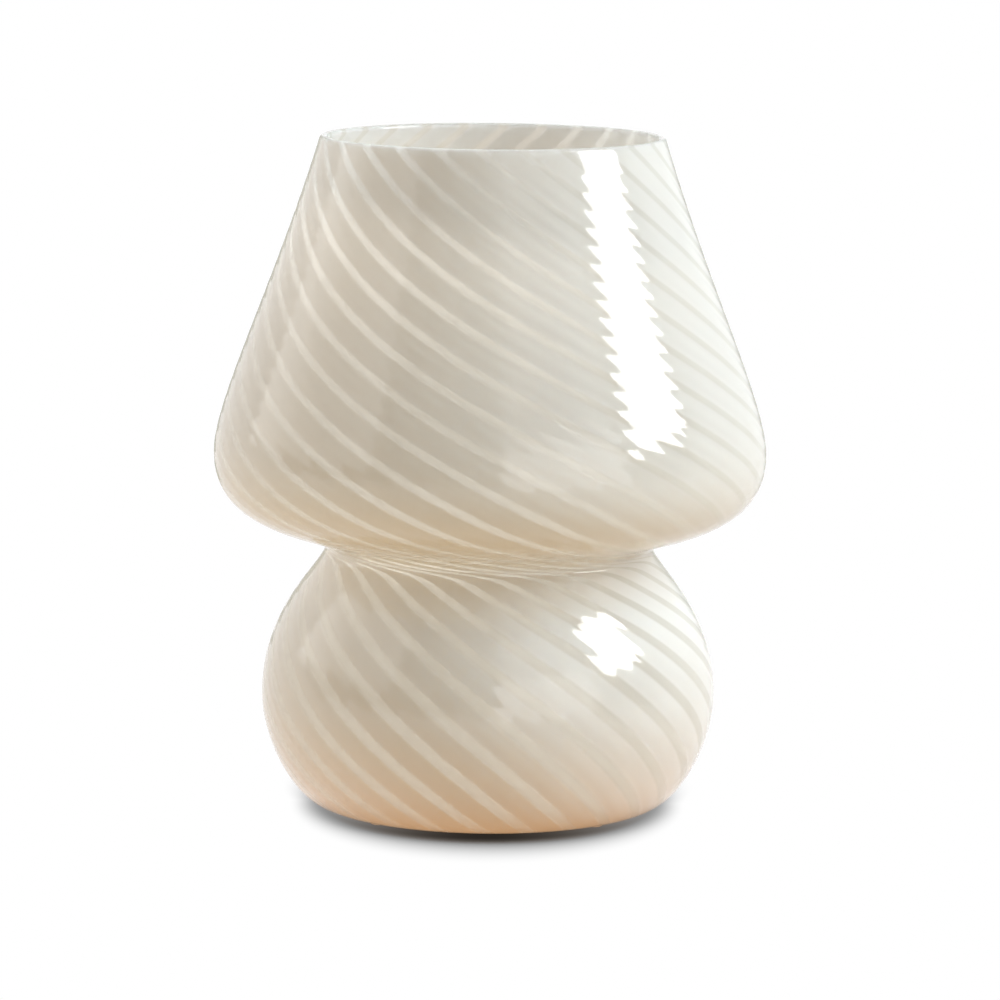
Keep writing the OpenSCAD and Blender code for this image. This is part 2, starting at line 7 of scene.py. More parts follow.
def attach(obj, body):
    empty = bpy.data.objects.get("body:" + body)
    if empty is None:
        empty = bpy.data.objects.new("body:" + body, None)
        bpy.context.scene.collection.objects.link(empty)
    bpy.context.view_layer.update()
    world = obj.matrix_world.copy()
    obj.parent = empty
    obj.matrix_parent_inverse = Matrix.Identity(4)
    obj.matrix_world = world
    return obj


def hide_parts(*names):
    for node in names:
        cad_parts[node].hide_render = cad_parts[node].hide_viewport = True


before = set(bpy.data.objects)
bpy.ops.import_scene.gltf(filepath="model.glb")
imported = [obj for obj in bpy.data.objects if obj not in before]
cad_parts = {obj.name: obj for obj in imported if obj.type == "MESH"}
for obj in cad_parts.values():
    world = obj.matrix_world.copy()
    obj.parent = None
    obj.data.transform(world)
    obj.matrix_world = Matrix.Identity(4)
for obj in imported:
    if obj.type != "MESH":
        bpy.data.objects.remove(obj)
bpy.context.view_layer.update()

print("frame loaded:", len(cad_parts), "nodes")
scene = bpy.context.scene
scene.view_settings.view_transform = "Standard"
mm = 0.001

# Camera, from the outline of the lamp in the photograph.
cameraSet = {
    "distance": 1.8,          # metres from the lamp's axis
    "height": 0.38577,
    "pitchDown": 8.654,       # degrees
    "yawRight": 0.1198,
    "roll": 0.559,
    "lens": 180.64,           # millimetres on a 36 mm sensor
    "sensor": 36.0,
}


def placeCamera(settings):
    data = bpy.data.cameras.new("lampCamera")
    data.sensor_width = settings["sensor"]
    data.lens = settings["lens"]
    data.clip_end = 60.0
    camera = bpy.data.objects.new("lampCamera", data)
    scene.collection.objects.link(camera)
    turn = Matrix.Rotation(math.radians(-settings["yawRight"]), 4, "Z")
    tilt = Matrix.Rotation(math.radians(90 - settings["pitchDown"]), 4, "X")
    roll = Matrix.Rotation(math.radians(settings["roll"]), 4, "Z")
    place = Matrix.Translation((0, -settings["distance"], settings["height"]))
    camera.matrix_world = place @ turn @ tilt @ roll
    scene.camera = camera


placeCamera(cameraSet)
print("camera placed")


# Colours are written in sRGB hex and turned linear here.
def fromHex(text):
    srgb = np.array([int(text[i:i + 2], 16) for i in (1, 3, 5)]) / 255
    linear = np.where(srgb <= 0.04045, srgb / 12.92, ((srgb + 0.055) / 1.055) ** 2.4)
    return (*linear.tolist(), 1.0)


# One node with its settings and its links: settings and links name the inputs.
def addNode(tree, kind, settings=None, links=None, **own):
    node = tree.nodes.new(kind)
    for name, value in own.items():
        setattr(node, name, value)
    for name, value in (settings or {}).items():
        node.inputs[name].default_value = value
    for name, source in (links or {}).items():
        tree.links.new(source, node.inputs[name])
    return node


def newMaterial(name):
    material = bpy.data.materials.new(name)
    material.use_nodes = True
    material.node_tree.nodes.clear()
    return material, material.node_tree


def finishMaterial(tree, shader):
    output = tree.nodes.new("ShaderNodeOutputMaterial")
    tree.links.new(shader, output.inputs["Surface"])


# The glass, one piece from the mouth to the foot, in millimetres.
glassShape = {
    "height": 244.0,
    "mouthRadius": 62.3,
    "slope": 17.0,            # degrees from upright at the mouth
    "straight": 57.0,         # from here on, straight to footTurn, how far a curve reaches before it turns
    "shadeRadius": 100.0,
    "shadeZ": 129.5,
    "shoulder": 18.0,
    "belly": 31.0,
    "waistRadius": 59.6,
    "waistZ": 94.8,
    "neckTop": 8.0,
    "neckLow": 6.0,
    "baseRadius": 82.4,
    "baseZ": 41.4,
    "baseTop": 31.0,
    "baseLow": 18.5,
    "footRadius": 60.5,
    "footZ": 1.5,
    "footTurn": 9.0,
    "ringWidth": 14.0,
    "ringSteps": 6,
    "punt": 6.5,              # depth of the hollow under the foot
    "puntSide": 0.8,          # its curve, as shares of the ring's radius and of the depth
    "puntRise": 0.7,
    "puntFlat": 0.4,
    "floor": 5.0,             # glass between the hollow and the inside
    "floorFlat": 0.4,         # the inside floor's curve, as shares of the foot's radius
    "floorTurn": 0.6,
    "lowerSteps": 16,
    "lipStep": 15,            # degrees
    "rimWall": 2.8,
    "shadeWall": 3.4,
    "waistWall": 5.0,
    "baseWall": 4.5,
    "footWall": 6.0,
    "cordHoleZ": 24.0,
    "cordHoleRadius": 5.0,
    "sharpFrom": 50,          # degrees between two faces
}
swirl = {
    "canes": 26,              # lengths in millimetres along the wall
    "start": -3.7,            # azimuth of one cane at the mouth, degrees to the right of the front
    "shadeRate": 1.067,       # degrees of turn for each millimetre down the wall
    "baseRate": 0.70,
    "baseExtra": 0.69,        # more of it just under the waist, which fades over the reach
    "baseReach": 35.0,
    "neckRate": 14.02,        # and much more in the waist itself
    "neckReach": 1.3,
    "rippleDepth": 0.039,     # half the depth of the flutes, two to each cane, millimetres
    "rippleMouth": 0.3,       # share of that depth at the mouth, and how far on it is the whole
    "rippleGrowth": 28.0,
    "fluteFade": 17.0,        # the flutes end at the waist, and at the mouth and the foot
    "mouthFade": 8.0,
    "footFade": 12.0,
    "around": 364,
    "alongStep": 2.3,         # between two rings at most, outside
    "twistStep": 3.4,         # degrees of swirl between two rings at most
    "insideStep": 5.0,
    "insideTwist": 6.0,
}


def curvePoints(corners, count):
    # cubic curve through its first and last corner: points and directions
    t = np.linspace(0, 1, count)[:, None]
    a, b, c, d = [np.array(p, float) for p in corners]
    points = (1 - t) ** 3 * a + 3 * t * (1 - t) ** 2 * b + 3 * t * t * (1 - t) * c + t ** 3 * d
    ways = (1 - t) ** 2 * (b - a) + 2 * t * (1 - t) * (c - b) + t * t * (d - c)
    return points, ways / np.linalg.norm(ways, axis=1)[:, None]


def lengthAlong(points):
    # the steps between the points, added up from the first
    return np.concatenate([[0], np.cumsum(np.linalg.norm(np.diff(points, axis=0), axis=1))])


def glassOutline(g, count=400):
    # outer face from the mouth to the foot ring: points, inward directions, walls and length along the face
    slope = math.radians(g["slope"])
    rimZ = g["height"] - g["rimWall"] / 2 * (1 - math.sin(slope))
    mouth = (g["mouthRadius"], rimZ)
    runEnd = (g["mouthRadius"] + g["straight"] * math.sin(slope), rimZ - g["straight"] * math.cos(slope))
    shade, waist = (g["shadeRadius"], g["shadeZ"]), (g["waistRadius"], g["waistZ"])
    base, foot = (g["baseRadius"], g["baseZ"]), (g["footRadius"], g["footZ"])
    curves = [
        (mouth, runEnd, (shade[0], shade[1] + g["shoulder"]), shade),
        (shade, (shade[0], shade[1] - g["belly"]), (waist[0], waist[1] + g["neckTop"]), waist),
        (waist, (waist[0], waist[1] - g["neckLow"]), (base[0], base[1] + g["baseTop"]), base),
        (base, (base[0], base[1] - g["baseLow"]), (foot[0] + g["footTurn"], foot[1]), foot),
    ]
    walls = [g["rimWall"], g["shadeWall"], g["waistWall"], g["baseWall"], g["footWall"]]
    points, ways, thick = [], [], []
    for k, corners in enumerate(curves):
        p, w = curvePoints(corners, count)
        keep = slice(0 if k == 0 else 1, None)
        points.append(p[keep])
        ways.append(w[keep])
        thick.append(np.linspace(walls[k], walls[k + 1], count)[keep])
    points, ways, thick = np.vstack(points), np.vstack(ways), np.concatenate(thick)
    inward = np.column_stack([ways[:, 1], -ways[:, 0]])
    length = lengthAlong(points)
    waistLength = length[2 * (count - 1)]
    return points, inward, thick, length, waistLength


def lowerOutlines(g):
    # the underside from the foot's edge in: its flat ring, then the hollow. And the floor from the middle out
    ringR, puntZ = g["footRadius"] - g["ringWidth"], g["footZ"] + g["punt"]
    floorZ, edgeZ = puntZ + g["floor"], g["footZ"] + g["footWall"]
    sideZ = g["footZ"] + g["punt"] * g["puntRise"]
    punt, _ = curvePoints([(ringR, g["footZ"]), (ringR * g["puntSide"], sideZ),
                           (ringR * g["puntFlat"], puntZ), (0, puntZ)], g["lowerSteps"])
    floorLine, _ = curvePoints([(0, floorZ), (g["footRadius"] * g["floorFlat"], floorZ),
                                (g["footRadius"] * g["floorTurn"], edgeZ), (g["footRadius"], edgeZ)],
                               g["lowerSteps"])
    ringRadii = np.linspace(g["footRadius"], ringR, g["ringSteps"])[1:-1]
    ring = np.column_stack([ringRadii, np.full(len(ringRadii), g["footZ"])])
    return np.vstack([ring, punt[:-1]]), floorLine


def swirlRate(s, waistLength):
    # degrees for each millimetre: steady on the shade, crowded at the waist, easing down the base
    away = np.abs(s - waistLength)
    crowded = swirl["neckRate"] * np.exp(-away / swirl["neckReach"])
    shade = swirl["shadeRate"] + crowded
    base = swirl["baseRate"] + swirl["baseExtra"] * np.exp(-away / swirl["baseReach"]) + crowded
    return np.where(s < waistLength, shade, base)


def runningSum(values, places):
    # the area under the values, added up from the first place in trapezoids
    steps = np.diff(places) * (values[1:] + values[:-1]) / 2
    return np.concatenate([[0], np.cumsum(steps)])


def sampledPlaces(places, rate, longest, mostTurn):
    # places along the wall, no further apart than a length and a turn of the swirl allow
    density = np.maximum(1 / longest, rate / mostTurn)
    total = runningSum(density, places)
    return np.interp(np.linspace(0, total[-1], int(math.ceil(total[-1])) + 1), total, places)


def meshFromGrid(name, verts, faces, loopUv=None):
    mesh = bpy.data.meshes.new(name)
    mesh.from_pydata(verts.tolist(), [], faces)
    if loopUv is not None:
        layer = mesh.uv_layers.new(name="swirlMap")
        layer.data.foreach_set("uv", loopUv.astype(np.float32).ravel())
    mesh.polygons.foreach_set("use_smooth", np.ones(len(mesh.polygons), bool))
    mesh.update()
    piece = bpy.data.objects.new(name, mesh)
    scene.collection.objects.link(piece)
    return piece


def fluteShare(s, whole, waistLength):
    # a bell curve taken from 1 round the waist, times straight ramps at the mouth and at the foot
    share = 1 - np.exp(-((s - waistLength) / swirl["fluteFade"]) ** 2)
    share = share * np.clip(s / swirl["mouthFade"], 0, 1) * np.clip((whole - s) / swirl["footFade"], 0, 1)
    return share * np.interp(s, [0, swirl["rippleGrowth"]], [swirl["rippleMouth"], 1])


def glassRings(g):
    # rings from the middle of the underside, up the outside, over the lip and down the inside to the middle
    # of the floor: radius and height, inward direction, share of the flutes, turn of the swirl and share of
    # the length
    points, inward, thick, length, waistLength = glassOutline(g)
    rate = swirlRate(length, waistLength)
    turn = swirl["start"] + runningSum(rate, length)
    whole = length[-1]

    def onSkin(s, share):
        p = np.column_stack([np.interp(s, length, points[:, i]) for i in (0, 1)])
        n = np.column_stack([np.interp(s, length, inward[:, i]) for i in (0, 1)])
        w = np.interp(s, length, thick)
        return p + n * (share * w)[:, None], n

    outerS = sampledPlaces(length, rate, swirl["alongStep"], swirl["twistStep"])
    innerS = sampledPlaces(length, rate, swirl["insideStep"], swirl["insideTwist"])
    outer, outerIn = onSkin(outerS, 0)
    inner, _ = onSkin(innerS, 1)

    # the lip is a half circle across the wall
    angle = np.radians(np.arange(g["lipStep"], 180, g["lipStep"]))
    lipIn = inward[0]
    lipUp = np.array([lipIn[1], -lipIn[0]])
    half = g["rimWall"] / 2
    lip = points[0] + half * (lipIn * (1 - np.cos(angle))[:, None] + lipUp * np.sin(angle)[:, None])

    under, floorLine = lowerOutlines(g)
    underS = whole + lengthAlong(under) + g["ringWidth"] / (g["ringSteps"] - 1)
    floorS = whole + np.linalg.norm(floorLine[-1] - floorLine[1:-1], axis=1)[::-1]
    rings = np.vstack([under[::-1], outer[::-1], lip, inner, floorLine[1:-1][::-1]])
    ringS = np.concatenate([underS[::-1], outerS[::-1], np.zeros(len(lip)), innerS, floorS])
    ringTurn = np.interp(ringS, length, turn) + np.clip(ringS - whole, 0, None) * rate[-1]
    onFace = slice(len(under), len(under) + len(outer))
    ringFlute, ringIn = np.zeros(len(rings)), np.zeros((len(rings), 2))
    ringFlute[onFace] = fluteShare(outerS, whole, waistLength)[::-1]
    ringIn[onFace] = outerIn[::-1]
    return rings, ringIn, ringFlute, ringTurn, ringS / whole


def buildGlass(g):
    # each ring is a circle, turned by the swirl and sunk into the wall by the flutes, twice a cane, as
    # depth times one less the cosine
    rings, ringIn, ringFlute, ringTurn, share = glassRings(g)
    count, around = len(rings), swirl["around"]
    u = np.arange(around) / around
    theta = np.radians(ringTurn[:, None] + 360 * u[None, :])
    phase = 2 * np.pi * u * swirl["canes"]                          # 0 on a cane
    sink = ringFlute[:, None] * (swirl["rippleDepth"] * (1 - np.cos(2 * phase)))[None, :]
    r = rings[:, :1] + ringIn[:, :1] * sink
    z = rings[:, 1:] + ringIn[:, 1:] * sink
    verts = np.stack([r * np.sin(theta), -r * np.cos(theta), z], axis=-1).reshape(-1, 3)
    puntZ = g["footZ"] + g["punt"]
    verts = np.vstack([verts, [[0, 0, puntZ], [0, 0, puntZ + g["floor"]]]]) * mm

    j, i = np.meshgrid(np.arange(count - 1), np.arange(around), indexing="ij")
    here, beyond, nextI = j * around, (j + 1) * around, (i + 1) % around
    quads = np.stack([here + i, here + nextI, beyond + nextI, beyond + i], -1).reshape(-1, 4)
    left, right = i / around, (i + 1) / around
    corners = [(left, share[j]), (right, share[j]), (right, share[j + 1]), (left, share[j + 1])]
    quadUv = np.stack([np.stack(corner, -1) for corner in corners], -2).reshape(-1, 2)

    # a fan of triangles closes the underside, and another the floor
    k = np.arange(around)
    low, high, last = count * around, count * around + 1, (count - 1) * around
    lowFan = np.column_stack([np.full(around, low), (k + 1) % around, k])
    highFan = np.column_stack([np.full(around, high), last + k, last + (k + 1) % around])

    def fanUv(ringIndex, first, second):
        v = np.full(around, share[ringIndex])
        spots = [np.column_stack([at / around, v]) for at in (k + 0.5, first, second)]
        return np.stack(spots, -2).reshape(-1, 2)

    uv = np.vstack([quadUv, fanUv(0, k + 1, k), fanUv(count - 1, k, k + 1)])
    faces = quads.tolist() + lowFan.tolist() + highFan.tolist()
    piece = meshFromGrid("swirlGlass", verts, faces, uv)
    print("glass:", count, "rings,", len(faces), "faces")
    return piece


# The cord hole: a round bar along Y, cut out of the wall at the back.
def drillCordHole(piece, g, sides=64):
    turn = 2 * np.pi * np.arange(sides) / sides
    x, z = g["cordHoleRadius"] * np.cos(turn), g["cordHoleZ"] + g["cordHoleRadius"] * np.sin(turn)
    nearY, farY = g["footRadius"], g["baseRadius"] + g["baseWall"]
    front = np.column_stack([x, np.full(sides, nearY), z])
    back = np.column_stack([x, np.full(sides, farY), z])
    k = np.arange(sides)
    wall = np.column_stack([k, (k + 1) % sides, sides + (k + 1) % sides, sides + k]).tolist()
    ends = [k[::-1].tolist(), (sides + k).tolist()]
    bar = meshFromGrid("cordHoleBar", np.vstack([front, back]) * mm, wall + ends)
    cut = piece.modifiers.new("cordHole", "BOOLEAN")
    cut.operation = "DIFFERENCE"
    cut.solver = "EXACT"
    cut.object = bar
    seen = bpy.context.evaluated_depsgraph_get()
    drilled = bpy.data.meshes.new_from_object(piece.evaluated_get(seen), depsgraph=seen)
    piece.modifiers.clear()
    whole, piece.data = piece.data, drilled
    bpy.data.meshes.remove(whole)
    bpy.data.objects.remove(bar)
    drilled.set_sharp_from_angle(angle=math.radians(g["sharpFrom"]))
    drilled.calc_loop_triangles()
    print("cord hole drilled:", len(drilled.loop_triangles), "triangles in the glass")


glassLook = {
    "shadeGroundPaintedDim": "#EBE9E6",  # milky opal; paler on the base, which paints in the brighter light that falls there
    "baseGroundPaintedBright": "#F8F7F5",
    "cane": "#DEDCD5",        # clearer cream cane
    "shadeShare": 0.245,      # width of a cane against the spacing, on the shade and on the base
    "baseShare": 0.34,
    "shareFrom": 0.5,         # where the width and the opal change, as parts of the length from mouth to foot
    "shareTo": 0.7,
    "softness": 0.12,         # how wide a cane's edge is, and how far it strays, against the spacing
    "wander": 0.03,
    "wanderSize": 38.0,       # millimetres
    "shadeScatterPaintedDim": 0.78,     # millimetres that light travels before it turns; shorter on the base, which paints in the brighter light that falls there
    "baseScatterPaintedBright": 0.42,
    "caneScatter": 4.0,
    "hueReach": (1.0, 0.98, 0.95),
    "rough": 0.35,            # the opal under the skin, and the skin
    "index": 1.5,
    "skinRough": 0.03,
    "skinIndex": 1.52,
}


# Blown soda glass, a milky opal layer with clearer canes laid into it, under a clear skin. The eye gets
# soft stripes deep under one smooth, wet-looking shine, and light that passes through the canes.
def casedSwirlGlass():
    material, tree = newMaterial("casedSwirlGlass")
    g = glassLook
    uv = addNode(tree, "ShaderNodeUVMap", uv_map="swirlMap")
    parts = addNode(tree, "ShaderNodeSeparateXYZ", {}, {"Vector": uv.outputs["UV"]})
    count = addNode(tree, "ShaderNodeMath", {1: float(swirl["canes"])}, {0: parts.outputs["X"]},
                    operation="MULTIPLY")
    place = addNode(tree, "ShaderNodeTexCoord")
    stray = addNode(tree, "ShaderNodeTexNoise", {"Scale": 1 / (g["wanderSize"] * mm), "Detail": 1.0},
                    {"Vector": place.outputs["Object"]})
    # half a spacing puts a cane at 0, and the noise is 0.5 on average
    strayed = addNode(tree, "ShaderNodeMapRange",
                      {"To Min": 0.5 - g["wander"], "To Max": 0.5 + g["wander"]},
                      {"Value": stray.outputs["Fac"]})
    shifted = addNode(tree, "ShaderNodeMath", {}, {0: count.outputs[0], 1: strayed.outputs["Result"]},
                      operation="ADD")
    part = addNode(tree, "ShaderNodeMath", {}, {0: shifted.outputs[0]}, operation="FRACT")
    middle = addNode(tree, "ShaderNodeMath", {1: 0.5}, {0: part.outputs[0]}, operation="SUBTRACT")
    away = addNode(tree, "ShaderNodeMath", {}, {0: middle.outputs[0]}, operation="ABSOLUTE")
    half = addNode(tree, "ShaderNodeMapRange",
                   {"From Min": g["shareFrom"], "From Max": g["shareTo"],
                    "To Min": g["shadeShare"] / 2, "To Max": g["baseShare"] / 2},
                   {"Value": parts.outputs["Y"]})
    past = addNode(tree, "ShaderNodeMath", {}, {0: away.outputs[0], 1: half.outputs["Result"]},
                   operation="SUBTRACT")
    mask = addNode(tree, "ShaderNodeMapRange",
                   {"From Min": -g["softness"] / 2, "From Max": g["softness"] / 2,
                    "To Min": 1.0, "To Max": 0.0},
                   {"Value": past.outputs[0]}, interpolation_type="SMOOTHSTEP")
    lower = addNode(tree, "ShaderNodeMapRange", {"From Min": g["shareFrom"], "From Max": g["shareTo"]},
                    {"Value": parts.outputs["Y"]})
    # The shade's opal is dimmer and the base's paler, and their scatter differs: this is painted light,
    # standing in for the brighter light on the base.
    milkAndPaintedLight = addNode(tree, "ShaderNodeMix", {6: fromHex(g["shadeGroundPaintedDim"]), 7: fromHex(g["baseGroundPaintedBright"])},
                   {0: lower.outputs["Result"]}, data_type="RGBA")
    colour = addNode(tree, "ShaderNodeMix", {7: fromHex(g["cane"])},
                     {0: mask.outputs["Result"], 6: milkAndPaintedLight.outputs[2]}, data_type="RGBA")
    # Cycles takes the mean free path as a 4 pi'th of the radius that it's given
    opalAndPaintedLight = addNode(tree, "ShaderNodeMapRange",
                   {"To Min": 4 * math.pi * g["shadeScatterPaintedDim"] * mm,
                    "To Max": 4 * math.pi * g["baseScatterPaintedBright"] * mm},
                   {"Value": lower.outputs["Result"]})
    scatter = addNode(tree, "ShaderNodeMapRange", {"To Max": 4 * math.pi * g["caneScatter"] * mm},
                      {"Value": mask.outputs["Result"], "To Min": opalAndPaintedLight.outputs["Result"]})
    shader = addNode(tree, "ShaderNodeBsdfPrincipled",
                     {"Roughness": g["rough"], "IOR": g["index"], "Specular IOR Level": 0.0,
                      "Coat Weight": 1.0, "Coat Roughness": g["skinRough"], "Coat IOR": g["skinIndex"],
                      "Subsurface Weight": 1.0, "Subsurface Radius": g["hueReach"]},
                     {"Base Color": colour.outputs[2], "Subsurface Scale": scatter.outputs["Result"]})
    finishMaterial(tree, shader.outputs["BSDF"])
    return material


glass = buildGlass(glassShape)
drillCordHole(glass, glassShape)
glass.data.materials.clear()
glass.data.materials.append(casedSwirlGlass())
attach(glass, "glass")
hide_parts("glass_body")
print("glass built")


# The fittings keep their CAD shapes. Sizes and depths of their patterns are in millimetres. Moulded and
# cast pieces. The body colour drifts a little from the gate to the edge, and the mould leaves a fine even
# grain. The eye gets a soft, slightly waxy surface.
mouldedLooks = {
    "softClearPvc": {"pale": "#D9D5C9", "deep": "#C6C0B1", "drift": 6.0, "grain": 0.35,
                     "relief": 0.015, "rough": 0.42, "ior": 1.53, "waxy": 0.6, "through": 1.2},
    "castSilicone": {"pale": "#E2E3DF", "deep": "#D2D4CF", "drift": 5.0, "grain": 0.5,
                     "relief": 0.01, "rough": 0.5, "ior": 1.41, "waxy": 0.8, "through": 2.0},
    "mouldedNylon": {"pale": "#F1EFE8", "deep": "#E5E1D6", "drift": 7.0, "grain": 0.3,
                     "relief": 0.012, "rough": 0.45, "ior": 1.53, "waxy": 0.3, "through": 0.5},
    "satinPbt": {"pale": "#F0EEE8", "deep": "#E6E3DA", "drift": 14.0, "grain": 0.25,
                 "relief": 0.02, "rough": 0.48, "ior": 1.55, "waxy": 0.1, "through": 0.3},
    "glossPbt": {"pale": "#F4F3F0", "deep": "#ECEAE5", "drift": 14.0, "grain": 0.6,
                 "relief": 0.008, "rough": 0.24, "ior": 1.55, "waxy": 0.1, "through": 0.3},
    "opalPolycarbonate": {"pale": "#F6F5F1", "deep": "#EFEDE7", "drift": 18.0, "grain": 0.4,
                          "relief": 0.006, "rough": 0.36, "ior": 1.58, "waxy": 0.8, "through": 0.25},
}
waxReach = (1.0, 0.92, 0.82)   # red light goes further through the pale ones than blue
# how far the roughness strays from the look's own, as factors
roughStray = {"moulded": (0.85, 1.15), "plated": (0.7, 1.3), "rolled": (0.75, 1.25), "turned": (0.8, 1.3)}


def mouldedPiece(name):
    material, tree = newMaterial(name)
    s = mouldedLooks[name]
    place = addNode(tree, "ShaderNodeTexCoord").outputs["Object"]
    drift = addNode(tree, "ShaderNodeTexNoise", {"Scale": 1 / (s["drift"] * mm), "Detail": 2.0},
                    {"Vector": place})
    colour = addNode(tree, "ShaderNodeMix", {6: fromHex(s["pale"]), 7: fromHex(s["deep"])},
                     {0: drift.outputs["Fac"]}, data_type="RGBA")
    grain = addNode(tree, "ShaderNodeTexNoise", {"Scale": 1 / (s["grain"] * mm), "Detail": 3.0},
                    {"Vector": place})
    low, high = roughStray["moulded"]
    rough = addNode(tree, "ShaderNodeMapRange", {"To Min": s["rough"] * low, "To Max": s["rough"] * high},
                    {"Value": grain.outputs["Fac"]})
    relief = addNode(tree, "ShaderNodeBump", {"Distance": s["relief"] * mm},
                     {"Height": grain.outputs["Fac"]})
    shader = addNode(tree, "ShaderNodeBsdfPrincipled",
                     {"IOR": s["ior"], "Subsurface Weight": s["waxy"], "Subsurface Radius": waxReach,
                      "Subsurface Scale": 4 * math.pi * s["through"] * mm},
                     {"Base Color": colour.outputs[2], "Roughness": rough.outputs["Result"],
                      "Normal": relief.outputs["Normal"]})
    finishMaterial(tree, shader.outputs["BSDF"])
    return material


# Plated and tinned pieces. The plate grows in small crystal patches, and handling leaves hairlines on it
# that run every way. The eye gets a bright metal with a faint patchwork.
platedLooks = {
    "brightZincPlate": {"light": "#CCD0D2", "dark": "#AEB3B7", "patch": 1.4, "hairline": 0.15,
                        "relief": 0.004, "rough": 0.30},
    "nickelledSteel": {"light": "#D2D0CB", "dark": "#B7B4AD", "patch": 0.9, "hairline": 0.12,
                       "relief": 0.003, "rough": 0.24},
    "nickelledBrass": {"light": "#D8D3C8", "dark": "#BDB5A5", "patch": 2.6, "hairline": 0.10,
                       "relief": 0.002, "rough": 0.18},
    "tinSolder": {"light": "#C8CACD", "dark": "#9DA1A6", "patch": 0.5, "hairline": 0.25,
                  "relief": 0.02, "rough": 0.36},
}


def platedPiece(name):
    material, tree = newMaterial(name)
    s = platedLooks[name]
    place = addNode(tree, "ShaderNodeTexCoord").outputs["Object"]
    patches = addNode(tree, "ShaderNodeTexVoronoi", {"Scale": 1 / (s["patch"] * mm)}, {"Vector": place})
    tone = addNode(tree, "ShaderNodeSeparateColor", {}, {"Color": patches.outputs["Color"]})
    colour = addNode(tree, "ShaderNodeMix", {6: fromHex(s["light"]), 7: fromHex(s["dark"])},
                     {0: tone.outputs["Red"]}, data_type="RGBA")
    hairlines = addNode(tree, "ShaderNodeTexNoise",
                        {"Scale": 1 / (s["hairline"] * mm), "Detail": 4.0, "Distortion": 2.0},
                        {"Vector": place})
    low, high = roughStray["plated"]
    rough = addNode(tree, "ShaderNodeMapRange", {"To Min": s["rough"] * low, "To Max": s["rough"] * high},
                    {"Value": hairlines.outputs["Fac"]})
    relief = addNode(tree, "ShaderNodeBump", {"Distance": s["relief"] * mm},
                     {"Height": hairlines.outputs["Fac"]})
    shader = addNode(tree, "ShaderNodeBsdfPrincipled", {"Metallic": 1.0},
                     {"Base Color": colour.outputs[2], "Roughness": rough.outputs["Result"],
                      "Normal": relief.outputs["Normal"]})
    finishMaterial(tree, shader.outputs["BSDF"])
    return material


# Strip rolled hard and blanked. The rolls leave long fine lines that follow the strip. The eye gets a shine
# that is drawn out across them.
rolledLooks = {
    "rolledSpringSteel": {"light": "#ACB0B3", "dark": "#84898D", "line": 0.14, "run": 9.0,
                          "relief": 0.006, "rough": 0.30},
    "rolledBronze": {"light": "#D0A06B", "dark": "#A97B49", "line": 0.12, "run": 6.0,
                     "relief": 0.005, "rough": 0.28},
}


def rolledStrip(name, turn):
    material, tree = newMaterial(name)
    s = rolledLooks[name]
    place = addNode(tree, "ShaderNodeTexCoord").outputs["Object"]
    # one unit of the pattern is a run long and a line wide, turned so that it follows the strip
    along = addNode(tree, "ShaderNodeMapping",
                    {"Rotation": (0, 0, math.radians(turn)),
                     "Scale": (s["run"] * mm, s["line"] * mm, s["line"] * mm)},
                    {"Vector": place}, vector_type="TEXTURE")
    lines = addNode(tree, "ShaderNodeTexNoise", {"Scale": 1.0, "Detail": 3.0},
                    {"Vector": along.outputs["Vector"]})
    colour = addNode(tree, "ShaderNodeMix", {6: fromHex(s["light"]), 7: fromHex(s["dark"])},
                     {0: lines.outputs["Fac"]}, data_type="RGBA")
    low, high = roughStray["rolled"]
    rough = addNode(tree, "ShaderNodeMapRange", {"To Min": s["rough"] * low, "To Max": s["rough"] * high},
                    {"Value": lines.outputs["Fac"]})
    relief = addNode(tree, "ShaderNodeBump", {"Distance": s["relief"] * mm},
                     {"Height": lines.outputs["Fac"]})
    shader = addNode(tree, "ShaderNodeBsdfPrincipled", {"Metallic": 1.0},
                     {"Base Color": colour.outputs[2], "Roughness": rough.outputs["Result"],
                      "Normal": relief.outputs["Normal"]})
    finishMaterial(tree, shader.outputs["BSDF"])
    return material


# Free-cutting brass. The tool leaves rings at its feed on a turned face, and grooves at the pitch on a
# thread. The eye gets a warm metal with fine turning marks.
turnedLooks = {
    "threadedBrass": {"light": "#DCC07A", "dark": "#B8954A", "marks": "BANDS", "pitch": 1.0, "stain": 3.0,
                      "relief": 0.25, "rough": 0.26},
    "turnedBrass": {"light": "#DCC07A", "dark": "#C2A058", "marks": "RINGS", "pitch": 0.18, "stain": 3.0,
                    "relief": 0.01, "rough": 0.28},
}


def turnedPiece(name):
    material, tree = newMaterial(name)
    s = turnedLooks[name]
    place = addNode(tree, "ShaderNodeTexCoord").outputs["Object"]
    # a wave repeats every pi / 10 of a unit at scale 1
    marks = addNode(tree, "ShaderNodeTexWave",
                    {"Scale": math.pi / 10 / (s["pitch"] * mm), "Distortion": 0.2},
                    {"Vector": place}, wave_type=s["marks"], bands_direction="Z", rings_direction="Z")
    stain = addNode(tree, "ShaderNodeTexNoise", {"Scale": 1 / (s["stain"] * mm), "Detail": 3.0},
                    {"Vector": place})
    colour = addNode(tree, "ShaderNodeMix", {6: fromHex(s["light"]), 7: fromHex(s["dark"])},
                     {0: stain.outputs["Fac"]}, data_type="RGBA")
    low, high = roughStray["turned"]
    rough = addNode(tree, "ShaderNodeMapRange", {"To Min": s["rough"] * low, "To Max": s["rough"] * high},
                    {"Value": stain.outputs["Fac"]})
    relief = addNode(tree, "ShaderNodeBump", {"Distance": s["relief"] * mm},
                     {"Height": marks.outputs["Fac"]})
    shader = addNode(tree, "ShaderNodeBsdfPrincipled", {"Metallic": 1.0},
                     {"Base Color": colour.outputs[2], "Roughness": rough.outputs["Result"],
                      "Normal": relief.outputs["Normal"]})
    finishMaterial(tree, shader.outputs["BSDF"])
    return material


